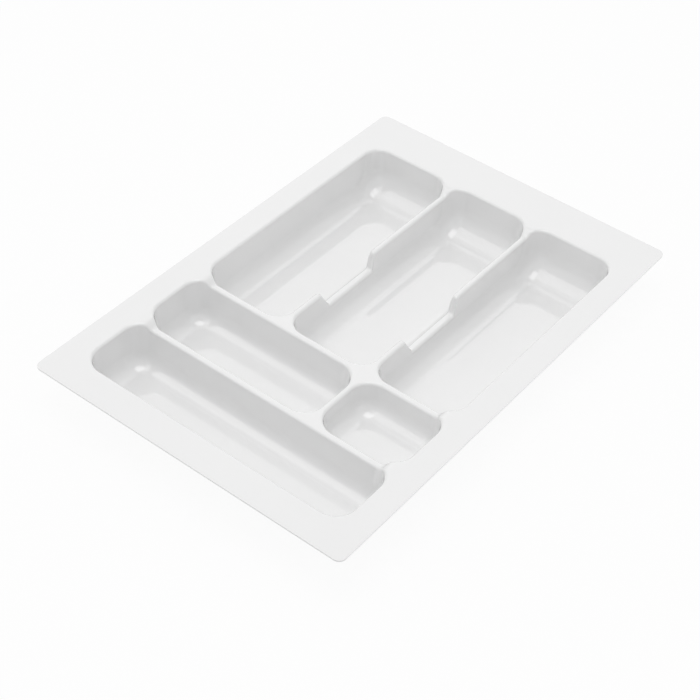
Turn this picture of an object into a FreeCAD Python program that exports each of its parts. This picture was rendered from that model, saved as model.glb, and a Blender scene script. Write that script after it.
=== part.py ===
"""Cutlery tray: a drawer insert vacuum-formed from one sheet of gloss plastic, in millimetres.

The sheet is the space between two forms of one shape, a sheet thickness apart. Each form is a block with
six drafted wells, whose top is lowered along the dividers and dips to a finger notch on the two long ones.
The sheet is then divided into named regions that meet face to face: the rim, six wells, five dividers and
the two ramps at the back that lead down to the long ones.
X runs across the tray, Y towards its back and Z up, from the middle of its base.
"""
import FreeCAD, Part
import Sketcher
import math
import os
import re

SIZES = {
    # Whole tray
    "tray_width": 330,
    "tray_length": 490,
    "tray_height": 48.7,
    "sheet_thickness": 1.5,
    # Flat rim round the wells
    "rim_side": 25.5,
    "rim_front": 31.4,
    "rim_back": 47.5,
    "rim_corner_radius": 7,
    # Wells at rim level; the middle long well and the length of the long wells take what is left
    "left_well_width": 90.5,
    "right_well_width": 89,
    "row_well_length": 72.2,
    "cross_well_length": 71,
    "divider_gap": 5.3,
    # Depths of the shallower wells, and the draft of the walls along the tray and of those across it
    "row_well_depth": 44,
    "small_well_depth": 35.8,
    "side_draft": 2.5,
    "end_draft": 5.3,
    # Upright corners of the shallower and of the long wells, and the scooped ends of the long ones
    "corner_radius": 20,
    "long_corner_radius": 18,
    "scoop_radius": 30,
    # Lowered dividers, and the tongues of the rim that lead down to them in a smooth bend
    "divider_drop": 6.5,
    "tongue_length": 8.2,
    "riser_draft": 45,
    "riser_radius": 9,
    # Finger notch in each long divider, from the front end of the long wells, and its bends
    "notch_start": 51.3,
    "notch_length": 78.5,
    "notch_depth": 19,
    "notch_front_run": 12.4,
    "notch_back_run": 3.5,
    "brow_radius": 4,
    "foot_radius": 3,
    # How far below the top the rim and dividers meet the walls
    "collar_depth": 4,
    # How far a form that only cuts reaches past what it cuts
    "overrun": 5,
}

# Edges of the wells at rim level, and the near side of each divider
WEST = "(-tray_width / 2 + rim_side)"
EAST = "(tray_width / 2 - rim_side)"
SOUTH = "(-tray_length / 2 + rim_front)"
NORTH = "(tray_length / 2 - rim_back)"
LEFT_RIDGE = f"({WEST} + left_well_width)"
RIGHT_RIDGE = f"({EAST} - right_well_width - divider_gap)"
FRONT_RIDGE = f"({SOUTH} + cross_well_length)"
BACK_RIDGE = f"({FRONT_RIDGE} + divider_gap + row_well_length)"


def past(ridge):
    """Far side of a divider, from its near side."""
    return f"({ridge} + divider_gap)"


# Edges of each well from west to north, with the rows that the wells share
FULL_DEPTH = "(tray_height - sheet_thickness)"
LONG_ROW = (past(BACK_RIDGE), NORTH)
MIDDLE_ROW = (past(FRONT_RIDGE), BACK_RIDGE)

# Name, edges, depth below the rim, and whether its front and back ends are scooped
WELLS = [
    ("well_long_left", (WEST, LEFT_RIDGE, *LONG_ROW), FULL_DEPTH, True),
    ("well_long_middle", (past(LEFT_RIDGE), RIGHT_RIDGE, *LONG_ROW), FULL_DEPTH, True),
    ("well_long_right", (past(RIGHT_RIDGE), EAST, *LONG_ROW), FULL_DEPTH, True),
    ("well_medium", (WEST, RIGHT_RIDGE, *MIDDLE_ROW), "row_well_depth", False),
    ("well_small", (past(RIGHT_RIDGE), EAST, *MIDDLE_ROW), "small_well_depth", False),
    ("well_cross", (WEST, EAST, SOUTH, FRONT_RIDGE), "row_well_depth", False),
]

# Strips along the dividers between the long wells, and where the ramps from the rim's back reach their level
INSIDE_WEST = f"({WEST} + tongue_length)"
INSIDE_EAST = f"({EAST} - tongue_length)"
INSIDE_NORTH = f"({NORTH} - tongue_length)"
LEFT_STRIP = (f"({LEFT_RIDGE} - corner_radius)", f"({past(LEFT_RIDGE)} + corner_radius)")
RIGHT_STRIP = (f"({RIGHT_RIDGE} - corner_radius)", f"({past(RIGHT_RIDGE)} + corner_radius)")
RAMP_FOOT = f"({INSIDE_NORTH} - divider_drop * tan(riser_draft) - riser_radius)"

# Name and edges from west to north of each divider's region of the sheet
DIVIDERS = [
    ("cross_divider_front", INSIDE_WEST, INSIDE_EAST,
     f"({FRONT_RIDGE} - tongue_length)", f"({past(FRONT_RIDGE)} + tongue_length)"),
    ("cross_divider_back", INSIDE_WEST, INSIDE_EAST,
     f"({BACK_RIDGE} - tongue_length)", f"({past(BACK_RIDGE)} + tongue_length)"),
    ("short_divider", *RIGHT_STRIP,
     f"({past(FRONT_RIDGE)} + tongue_length)", f"({BACK_RIDGE} - tongue_length)"),
    ("long_divider_left", *LEFT_STRIP, f"({past(BACK_RIDGE)} + tongue_length)", RAMP_FOOT),
    ("long_divider_right", *RIGHT_STRIP, f"({past(BACK_RIDGE)} + tongue_length)", RAMP_FOOT),
    ("divider_ramp_left", *LEFT_STRIP, RAMP_FOOT, INSIDE_NORTH),
    ("divider_ramp_right", *RIGHT_STRIP, RAMP_FOOT, INSIDE_NORTH),
]

# Most of a well's floor that its roundings take, rounding of a floor as a share of the well's corners, and
# radius of the lip round the wells as a share of the divider that it rounds from both sides
FLOOR_SHARE = 0.8
FOOT_SHARE = 0.8
LIP_SHARE = 0.48

# Cosine from which two directions count as alike, slopes of a groove's ends, and least turn of a sharp edge
ALIKE_SHARE = 0.5
SLOPE_SHARES = (0.05, 0.95)
SHARP_DEGREES = 15

# Directions across the tray and along it
ACROSS = FreeCAD.Vector(1, 0, 0)
ALONG = FreeCAD.Vector(0, 1, 0)

doc = FreeCAD.newDocument("cutlery_tray")


def dimension_sheet():
    cells = doc.addObject("Spreadsheet::Sheet", "Dimensions")
    for row, (alias, value) in enumerate(SIZES.items(), start=1):
        cells.set(f"A{row}", alias)
        cells.set(f"B{row}", str(value))
        cells.setAlias(f"B{row}", alias)
    doc.recompute()


def bind(thing, path, text):
    """Tie a property to an expression written with the aliases of the sheet."""
    def qualified(word):
        return f"Dimensions.{word.group()}" if word.group() in SIZES else word.group()
    thing.setExpression(path, re.sub(r"[a-z_]+", qualified, text))


def sketch_on(body, role, place):
    """Empty sketch on one of the body's origin planes, moved along that plane's own axes."""
    sketch = body.newObject("Sketcher::SketchObject", "Outline")
    plane = next(feature for feature in body.Origin.OriginFeatures if feature.Role == role)
    sketch.AttachmentSupport = [(plane, "")]
    sketch.MapMode = "FlatFace"
    for axis, text in zip("xyz", place):
        bind(sketch, f"AttachmentOffset.Base.{axis}", text)
    return sketch


def close(sketch, corners):
    """Straight lines through the corners, the first of them held at the sketch's origin."""
    for here, there in zip(corners, corners[1:] + corners[:1]):
        sketch.addGeometry(Part.LineSegment(FreeCAD.Vector(*here, 0), FreeCAD.Vector(*there, 0)))
    for side in range(len(corners)):
        sketch.addConstraint(Sketcher.Constraint("Coincident", side, 2, (side + 1) % len(corners), 1))
    sketch.addConstraint(Sketcher.Constraint("Coincident", 0, 1, -1, 1))


def measure(sketch, kind, here, there, text):
    """Dimension from one corner to another, counted in the order they were drawn."""
    number = sketch.addConstraint(Sketcher.Constraint(kind, here, 1, there, 1, 1))
    bind(sketch, f"Constraints[{number}]", text)


def rectangle(body, place, width, length):
    sketch = sketch_on(body, "XY_Plane", place)
    close(sketch, [(0, 0), (1, 0), (1, 1), (0, 1)])
    for side, kind in enumerate(("Horizontal", "Vertical", "Horizontal", "Vertical")):
        sketch.addConstraint(Sketcher.Constraint(kind, side))
    measure(sketch, "DistanceX", 0, 1, width)
    measure(sketch, "DistanceY", 1, 2, length)
    return sketch


def trapezoid(body, role, place, length, depth, runs):
    """Side view of a groove: level top, sloping ends that take the two runs, level bottom."""
    sketch = sketch_on(body, role, place)
    close(sketch, [(0, 0), (1, -1), (2, -1), (3, 0)])
    for side in (1, 3):
        sketch.addConstraint(Sketcher.Constraint("Horizontal", side))
    measure(sketch, "DistanceX", 0, 3, length)
    measure(sketch, "DistanceY", 1, 0, depth)
    measure(sketch, "DistanceX", 0, 1, runs[0])
    measure(sketch, "DistanceX", 2, 3, runs[1])
    return sketch


def extruded(body, kind, sketch, length, side="One side"):
    """Pad downwards from the sketch, or pocket on both sides of it."""
    feature = body.newObject(f"PartDesign::{kind}", kind)
    feature.Profile = (sketch, [""])
    feature.SideType = side
    feature.Reversed = kind == "Pad"
    bind(feature, "Length", length)
    doc.recompute()
    return feature


def drafted(body, angle, axis):
    """Slope the sides of the body's tip that face along the axis inwards from its top face."""
    tip = body.Tip
    faces = [(f"Face{number}", face.normalAt(0, 0)) for number, face in enumerate(tip.Shape.Faces, start=1)]
    feature = body.newObject("PartDesign::Draft", "Draft")
    feature.Base = (tip, [name for name, normal in faces if abs(normal.dot(axis)) > ALIKE_SHARE])
    feature.NeutralPlane = (tip, [name for name, normal in faces if normal.z > ALIKE_SHARE])
    feature.Reversed = True
    bind(feature, "Angle", angle)
    doc.recompute()


def rounded(body, radius, pick):
    """Fillet those edges of the body's tip that pick returns."""
    tip = body.Tip
    shape = tip.Shape
    picked = pick(shape)
    feature = body.newObject("PartDesign::Fillet", "Fillet")
    feature.Base = (tip, [f"Edge{number}" for number, edge in enumerate(shape.Edges, start=1)
                          if any(edge.isSame(one) for one in picked)])
    bind(feature, "Radius", radius)
    doc.recompute()


def combined(kind, label, base, tool):
    feature = doc.addObject(f"Part::{kind}", label)
    feature.Base = base
    feature.Tool = tool
    doc.recompute()
    return feature


def fused(label, shapes):
    feature = doc.addObject("Part::MultiFuse", label)
    feature.Shapes = shapes
    doc.recompute()
    return feature


def at_level(edge, height):
    return all(abs(vertex.Z - height) < Part.Precision.confusion() for vertex in edge.Vertexes)


def is_flat(face):
    return isinstance(face.Surface, Part.Plane)


def upright_edges(shape):
    return [edge for edge in shape.Edges if edge.BoundBox.ZLength > edge.Length / 2]


def is_sharp(shape, edge):
    point = edge.valueAt((edge.FirstParameter + edge.LastParameter) / 2)
    faces = shape.ancestorsOfType(edge, Part.Face)
    one, other = (face.normalAt(*face.Surface.parameter(point)) for face in faces)
    return math.degrees(one.getAngle(other)) > SHARP_DEGREES


def slope_edges(shape, side):
    """Sharp edges of the sloping ends of the grooves, at their foot (ZMin) or their brow (ZMax)."""
    least, most = SLOPE_SHARES
    slopes = [face for face in shape.Faces if is_flat(face) and least < abs(face.normalAt(0, 0).z) < most]
    edges = [edge for face in slopes for edge in face.Edges if at_level(edge, getattr(face.BoundBox, side))]
    return [edge for edge in edges if is_sharp(shape, edge)]


def lip_edges(shape):
    """Sharp edges round the mouths of the wells: all that lie inside the rim and above the floors."""
    inner = shape.BoundBox
    inner.enlarge(-SIZES["rim_side"] / 2)

    def inside(edge):
        middle = edge.BoundBox.Center
        return inner.XMin < middle.x < inner.XMax and inner.YMin < middle.y < inner.YMax

    return [edge for edge in shape.Edges if inside(edge) and is_sharp(shape, edge)]


def floor_edges(shape):
    """Edges of the lowest flat face."""
    flats = [face for face in shape.Faces if is_flat(face)]
    return min(flats, key=lambda face: face.CenterOfMass.z).Edges


def end_edges(shape):
    """Edges of the floor at its front and back."""
    return [edge for edge in floor_edges(shape)
            if abs(edge.tangentAt(edge.FirstParameter).dot(ACROSS)) > ALIKE_SHARE]


def side_edges(shape):
    """All edges of the flat walls at the left and right, except at their top."""
    flats = [face for face in shape.Faces if is_flat(face)]
    sides = [face for face in flats if abs(face.normalAt(0, 0).dot(ACROSS)) > ALIKE_SHARE]
    return [edge for face in sides for edge in face.Edges if not at_level(edge, shape.BoundBox.ZMax)]


def well_plug(well, skin):
    """What fills a well, grown outwards by the skin: drafted walls, rounded corners and a rounded floor."""
    name, (west, east, south, north), depth, scooped = well
    body = doc.addObject("PartDesign::Body", f"{name}_plug")
    side_grow = f"{skin} * tan((90 - side_draft) / 2)"
    end_grow = f"{skin} * tan((90 - end_draft) / 2)"
    outline = rectangle(body, (f"{west} - {side_grow}", f"{south} - {end_grow}", f"tray_height - {skin}"),
                        f"{east} - {west} + 2 * {side_grow}", f"{north} - {south} + 2 * {end_grow}")
    extruded(body, "Pad", outline, depth)
    drafted(body, "side_draft", ACROSS)
    drafted(body, "end_draft", ALONG)
    # A rounding takes at most a share of the floor, so that a narrow well still has a flat one
    most_across = f"{FLOOR_SHARE} * ({east} - {west} - 2 * {depth} * tan(side_draft)) / 2"
    most_along = f"{FLOOR_SHARE} * ({north} - {south} - 2 * {depth} * tan(end_draft)) / 2"
    if scooped:
        rounded(body, f"min(scoop_radius; {most_along}) + {skin}", end_edges)
        rounded(body, f"min(long_corner_radius; {most_across}) + {skin}", side_edges)
    else:
        corner = f"min(corner_radius; {most_across}; {most_along})"
        rounded(body, f"{corner} + {skin}", upright_edges)
        rounded(body, f"{FOOT_SHARE} * {corner} + {skin}", floor_edges)
    return body


def form_block(label, skin, spread):
    """Block with the form's top before the wells, lowered by the skin and spread beyond the rim's outline."""
    body = doc.addObject("PartDesign::Body", label)
    top = f"tray_height - {skin}"
    outline = rectangle(body, (f"-tray_width / 2 - {spread}", f"-tray_length / 2 - {spread}", top),
                        f"tray_width + 2 * {spread}", f"tray_length + 2 * {spread}")
    extruded(body, "Pad", outline, f"{top} + overrun + {spread}")
    rounded(body, f"rim_corner_radius + {spread}", upright_edges)

    def lowered(role, start, end, middle, level, depth, runs):
        """Groove along a divider, its sloping ends moved out so that the skin keeps its thickness."""
        moves = [f"{skin} * (sqrt(({depth})^2 + ({run})^2) - {run}) / ({depth})" for run in runs]
        sketch = trapezoid(body, role, (f"{start} - {moves[0]}", level, middle),
                           f"{end} - {start} + {moves[0]} + {moves[1]}", depth, runs)
        extruded(body, "Pocket", sketch, "divider_gap + 2 * corner_radius", "Symmetric")

    riser_runs = ["divider_drop * tan(riser_draft)"] * 2
    for ridge in (FRONT_RIDGE, BACK_RIDGE):
        lowered("XZ_Plane", INSIDE_WEST, INSIDE_EAST, f"-({ridge} + divider_gap / 2)",
                top, "divider_drop", riser_runs)
    lowered("YZ_Plane", FRONT_RIDGE, past(BACK_RIDGE), f"{RIGHT_RIDGE} + divider_gap / 2",
            top, "divider_drop", riser_runs)
    for ridge in (LEFT_RIDGE, RIGHT_RIDGE):
        lowered("YZ_Plane", BACK_RIDGE, INSIDE_NORTH, f"{ridge} + divider_gap / 2",
                top, "divider_drop", riser_runs)
    rounded(body, f"riser_radius + {skin}", lambda shape: slope_edges(shape, "ZMin"))
    rounded(body, f"riser_radius - {skin}", lambda shape: slope_edges(shape, "ZMax"))
    notch_start = f"({past(BACK_RIDGE)} + notch_start)"
    for ridge in (LEFT_RIDGE, RIGHT_RIDGE):
        lowered("YZ_Plane", notch_start, f"({notch_start} + notch_length)", f"{ridge} + divider_gap / 2",
                f"{top} - divider_drop", "notch_depth", ["notch_front_run", "notch_back_run"])
    rounded(body, f"foot_radius + {skin}", lambda shape: slope_edges(shape, "ZMin"))
    rounded(body, f"brow_radius - {skin}", lambda shape: slope_edges(shape, "ZMax"))
    return body


def region_box(label, west, east, south, north):
    box = doc.addObject("Part::Box", label)
    bind(box, "Length", f"{east} - {west}")
    bind(box, "Width", f"{north} - {south}")
    bind(box, "Height", "tray_height + overrun")
    bind(box, "Placement.Base.x", west)
    bind(box, "Placement.Base.y", south)
    doc.recompute()
    return box


def lowered_copy(label, source, drop):
    copy = doc.addObject("Part::Compound", label)
    copy.Links = [source]
    bind(copy, "Placement.Base.z", f"-{drop}")
    doc.recompute()
    return copy


def lipped(form):
    """The upper form with a rounded lip round each well."""
    body = doc.addObject("PartDesign::Body", "lipped_form")
    body.BaseFeature = form
    doc.recompute()
    rounded(body, f"{LIP_SHARE} * divider_gap", lip_edges)
    return body


def build():
    """The sheet's regions, by node name."""
    dimension_sheet()
    upper_plugs = [well_plug(well, "0") for well in WELLS]
    lower_plugs = [well_plug(well, "sheet_thickness") for well in WELLS]
    upper_block = form_block("upper_block", "0", "0")
    lower_block = form_block("lower_block", "sheet_thickness", "overrun")
    upper_form = combined("Cut", "upper_form", upper_block, fused("upper_wells", upper_plugs))
    lower_form = combined("Cut", "lower_form", lower_block, fused("lower_wells", lower_plugs))
    formed_sheet = combined("Cut", "formed_sheet", lipped(upper_form), lower_form)
    below_collar = lowered_copy("below_collar", upper_block, "collar_depth")
    collar = combined("Cut", "collar", formed_sheet, below_collar)
    nodes = []
    for (name, *_), upper, lower in zip(WELLS, upper_plugs, lower_plugs):
        nodes.append(combined("Common", name, combined("Cut", f"{name}_wall", lower, upper), below_collar))
    boxes = [region_box(f"{name}_box", *edges) for name, *edges in DIVIDERS]
    for (name, *_), box in zip(DIVIDERS, boxes):
        nodes.append(combined("Common", name, collar, box))
    nodes.append(combined("Cut", "rim", collar, fused("divider_boxes", boxes)))
    return nodes


def write(nodes):
    failed = [thing.Label for thing in doc.Objects if {"Invalid", "Error"} & set(thing.State)]
    failed += [node.Label for node in nodes if node.Shape.isNull() or not node.Shape.isValid()]
    failed += [node.Label for node in nodes if len(node.Shape.Solids) != 1]
    if failed:
        raise RuntimeError(f"these did not build: {failed}")
    os.makedirs("parts", exist_ok=True)
    for node in nodes:
        node.Shape.exportStep(f"parts/{node.Label}.step")
        print(node.Label, round(node.Shape.Volume), "mm3")


write(build())
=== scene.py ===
"""Cutlery tray of gloss white plastic: its finish, and the floor, light and camera round it, in metres."""
import math

import bpy
from mathutils import Matrix, Vector


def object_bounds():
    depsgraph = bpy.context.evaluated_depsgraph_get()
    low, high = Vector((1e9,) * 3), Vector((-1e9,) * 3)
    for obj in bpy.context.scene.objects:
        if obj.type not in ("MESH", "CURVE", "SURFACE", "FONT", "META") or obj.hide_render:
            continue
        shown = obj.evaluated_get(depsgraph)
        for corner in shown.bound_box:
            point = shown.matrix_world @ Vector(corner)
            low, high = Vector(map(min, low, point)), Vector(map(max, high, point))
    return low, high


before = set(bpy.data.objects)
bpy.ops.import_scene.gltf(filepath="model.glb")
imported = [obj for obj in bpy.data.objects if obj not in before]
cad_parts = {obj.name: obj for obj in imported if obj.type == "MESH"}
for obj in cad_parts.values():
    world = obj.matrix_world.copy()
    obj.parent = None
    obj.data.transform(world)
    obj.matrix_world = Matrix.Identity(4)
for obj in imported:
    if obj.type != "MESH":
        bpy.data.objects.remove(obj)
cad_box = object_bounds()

# Plastic: its whiteness and how far that varies, the roughness of its body from clear to hazy, and that of
# the clear skin over it
WHITE = 0.86
WHITE_SPREAD = 0.006
BODY_ROUGHNESS = (0.04, 0.09)
SKIN_ROUGHNESS = 0.03
PLASTIC_IOR = 1.5

# Size and octaves of the patches of whiteness, of the haze and of the shallow waves that forming leaves, and
# the range that such noise mostly keeps to
PATCHES = (0.06, 3)
HAZE = (0.012, 4)
WAVES = (0.009, 1)
WAVE_HEIGHT = 0.00003
NOISE_LOW, NOISE_HIGH = 0.3, 0.7

# Floor: its side, its whiteness under diffuse light, and its share of pure white where it is seen
FLOOR_SIDE = 20
FLOOR_WHITE = 0.9
FLOOR_GLOW = 0.93

# Room: the strength of its diffuse light, and its whiteness where it is seen or mirrored
ROOM_LIGHT = 0.557
ROOM_WHITE = 1.0

# Softboxes: name, direction from the tray, distance, side, radiance, and whether they count in the diffuse
# light of a surface and in its gloss
SOFTBOXES = [
    ("back_softbox", (-0.35, 0.66, 0.67), 3.0, 2.6, 0.47, True, True),
    ("overhead_softbox", (-0.2, -0.3, 0.93), 3.0, 3.0, 0.38, True, True),
    ("top_softbox", (0.1, -0.13, 0.985), 1.4, 0.85, 1.76, True, True),
    ("left_softbox", (-0.966, 0.0, 0.259), 3.0, 1.7, 1.0, True, False),
    ("right_softbox", (0.966, 0.0, 0.259), 3.0, 1.7, 0.4, True, False),
    ("front_panel", (-0.42, -0.38, 0.82), 3.0, 2.1, 0.65, False, True),
]

# Camera: its place and the point that it looks at, both from the middle of the rim plane, its tilt in degrees
# about that line, its lens and sensor in millimetres, and the shift of the picture in pixels
CAMERA_EYE = (0.6274, -0.9012, 0.9729)
CAMERA_TARGET = (0.0250, -0.0542, 0.0)
CAMERA_TILT = 3.93
LENS_MM = 84.9
SENSOR_MM = 36.0
SHIFT_PX = (-0.5, 0.5)
PICTURE_PX = 700


def grey(level):
    return (level, level, level, 1)


def new_material(name):
    """Material with its node tree, and the shader at the end of that tree."""
    material = bpy.data.materials.new(name)
    material.use_nodes = True
    return material, material.node_tree, material.node_tree.nodes["Principled BSDF"]


def noise(tree, place, size, octaves):
    """Soft patches of about the given size, 0.5 on average."""
    texture = tree.nodes.new("ShaderNodeTexNoise")
    texture.inputs["Scale"].default_value = 1 / size
    texture.inputs["Detail"].default_value = octaves
    tree.links.new(place, texture.inputs["Vector"])
    return texture.outputs["Fac"]


def spread(tree, value, low, high):
    """A noise value stretched to run from low to high."""
    stretch = tree.nodes.new("ShaderNodeMapRange")
    stretch.inputs["From Min"].default_value = NOISE_LOW
    stretch.inputs["From Max"].default_value = NOISE_HIGH
    stretch.inputs["To Min"].default_value = low
    stretch.inputs["To Max"].default_value = high
    tree.links.new(value, stretch.inputs["Value"])
    return stretch.outputs["Result"]


def patchy_white(tree, place):
    """Whiteness that varies a little from patch to patch, where the sheet is drawn thinner or thicker."""
    white = tree.nodes.new("ShaderNodeMix")
    white.data_type = "RGBA"
    white.inputs["A"].default_value = grey(WHITE - WHITE_SPREAD)
    white.inputs["B"].default_value = grey(WHITE + WHITE_SPREAD)
    tree.links.new(spread(tree, noise(tree, place, *PATCHES), 0, 1), white.inputs["Factor"])
    return white.outputs["Result"]


def forming_waves(tree, place):
    """Shallow waves that forming leaves in the skin of the sheet."""
    waves = tree.nodes.new("ShaderNodeBump")
    waves.inputs["Distance"].default_value = WAVE_HEIGHT
    tree.links.new(noise(tree, place, *WAVES), waves.inputs["Height"])
    return waves.outputs["Normal"]


def gloss_plastic():
    """White plastic with a fine haze under a clear, faintly wavy skin."""
    material, tree, shader = new_material("white_gloss_plastic")
    place = tree.nodes.new("ShaderNodeTexCoord").outputs["Object"]
    haze = spread(tree, noise(tree, place, *HAZE), *BODY_ROUGHNESS)
    waves = forming_waves(tree, place)
    tree.links.new(patchy_white(tree, place), shader.inputs["Base Color"])
    tree.links.new(haze, shader.inputs["Roughness"])
    tree.links.new(waves, shader.inputs["Normal"])
    tree.links.new(waves, shader.inputs["Coat Normal"])
    shader.inputs["IOR"].default_value = PLASTIC_IOR
    shader.inputs["Coat Weight"].default_value = 1.0
    shader.inputs["Coat Roughness"].default_value = SKIN_ROUGHNESS
    shader.inputs["Coat IOR"].default_value = PLASTIC_IOR
    return material


def dress_sheet():
    """One plastic for every region of the formed sheet."""
    plastic = gloss_plastic()
    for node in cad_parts.values():
        node.data.materials.clear()
        node.data.materials.append(plastic)


def seen_directly(tree):
    """1 for rays from the camera and for mirrored or refracted ones, 0 for diffuse light."""
    path = tree.nodes.new("ShaderNodeLightPath")
    seen = path.outputs["Is Camera Ray"]
    for kind in ("Is Glossy Ray", "Is Transmission Ray"):
        either = tree.nodes.new("ShaderNodeMath")
        either.operation = "MAXIMUM"
        tree.links.new(seen, either.inputs[0])
        tree.links.new(path.outputs[kind], either.inputs[1])
        seen = either.outputs[0]
    return seen


def floor_material():
    """Matt white that is nearly pure white where it is seen, and still shows the shadow of the tray."""
    material, tree, shader = new_material("floor_white")
    shader.inputs["Base Color"].default_value = grey(FLOOR_WHITE)
    shader.inputs["Specular IOR Level"].default_value = 0
    glow = tree.nodes.new("ShaderNodeEmission")
    share = tree.nodes.new("ShaderNodeMath")
    share.operation = "MULTIPLY"
    share.inputs[1].default_value = FLOOR_GLOW
    tree.links.new(seen_directly(tree), share.inputs[0])
    mix = tree.nodes.new("ShaderNodeMixShader")
    tree.links.new(share.outputs[0], mix.inputs[0])
    tree.links.new(shader.outputs[0], mix.inputs[1])
    tree.links.new(glow.outputs[0], mix.inputs[2])
    tree.links.new(mix.outputs[0], tree.nodes["Material Output"].inputs["Surface"])
    return material


def add_floor():
    bpy.ops.mesh.primitive_plane_add(size=FLOOR_SIDE)
    floor = bpy.context.object
    floor.name = "floor"
    floor.data.materials.append(floor_material())


def add_room():
    """White room that is brighter where it is seen or mirrored than in the diffuse light that it gives."""
    world = bpy.data.worlds.new("studio")
    bpy.context.scene.world = world
    world.use_nodes = True
    tree = world.node_tree
    background = tree.nodes["Background"]
    background.inputs["Color"].default_value = grey(1)
    strength = tree.nodes.new("ShaderNodeMapRange")
    strength.inputs["To Min"].default_value = ROOM_LIGHT
    strength.inputs["To Max"].default_value = ROOM_WHITE
    tree.links.new(seen_directly(tree), strength.inputs["Value"])
    tree.links.new(strength.outputs["Result"], background.inputs["Strength"])


def add_softbox(name, toward, distance, side, radiance, diffuse, glossy):
    """Square lamp that faces the tray and has the given radiance all over."""
    lamp = bpy.data.lights.new(name, "AREA")
    lamp.shape = "SQUARE"
    lamp.size = side
    lamp.energy = radiance * math.pi * side ** 2
    box = bpy.data.objects.new(name, lamp)
    spot = Vector(toward).normalized() * distance
    turn = Vector((0, 0, 1)).rotation_difference(spot)
    box.matrix_world = Matrix.Translation(spot) @ turn.to_matrix().to_4x4()
    box.visible_camera = False
    box.visible_diffuse = diffuse
    box.visible_glossy = glossy
    bpy.context.scene.collection.objects.link(box)


def add_camera():
    camera = bpy.data.objects.new("camera", bpy.data.cameras.new("camera"))
    bpy.context.scene.collection.objects.link(camera)
    camera.data.sensor_width = SENSOR_MM
    camera.data.lens = LENS_MM
    camera.data.shift_x, camera.data.shift_y = [shift / PICTURE_PX for shift in SHIFT_PX]
    rim = Vector((0, 0, cad_box[1][2]))
    eye = rim + Vector(CAMERA_EYE)
    look = (rim + Vector(CAMERA_TARGET) - eye).to_track_quat("-Z", "Y").to_matrix()
    tilt = Matrix.Rotation(math.radians(CAMERA_TILT), 3, "Z")
    camera.matrix_world = Matrix.Translation(eye) @ (look @ tilt).to_4x4()
    bpy.context.scene.camera = camera


dress_sheet()
add_floor()
add_room()
for softbox in SOFTBOXES:
    add_softbox(*softbox)
add_camera()
bpy.context.scene.view_settings.view_transform = "Standard"
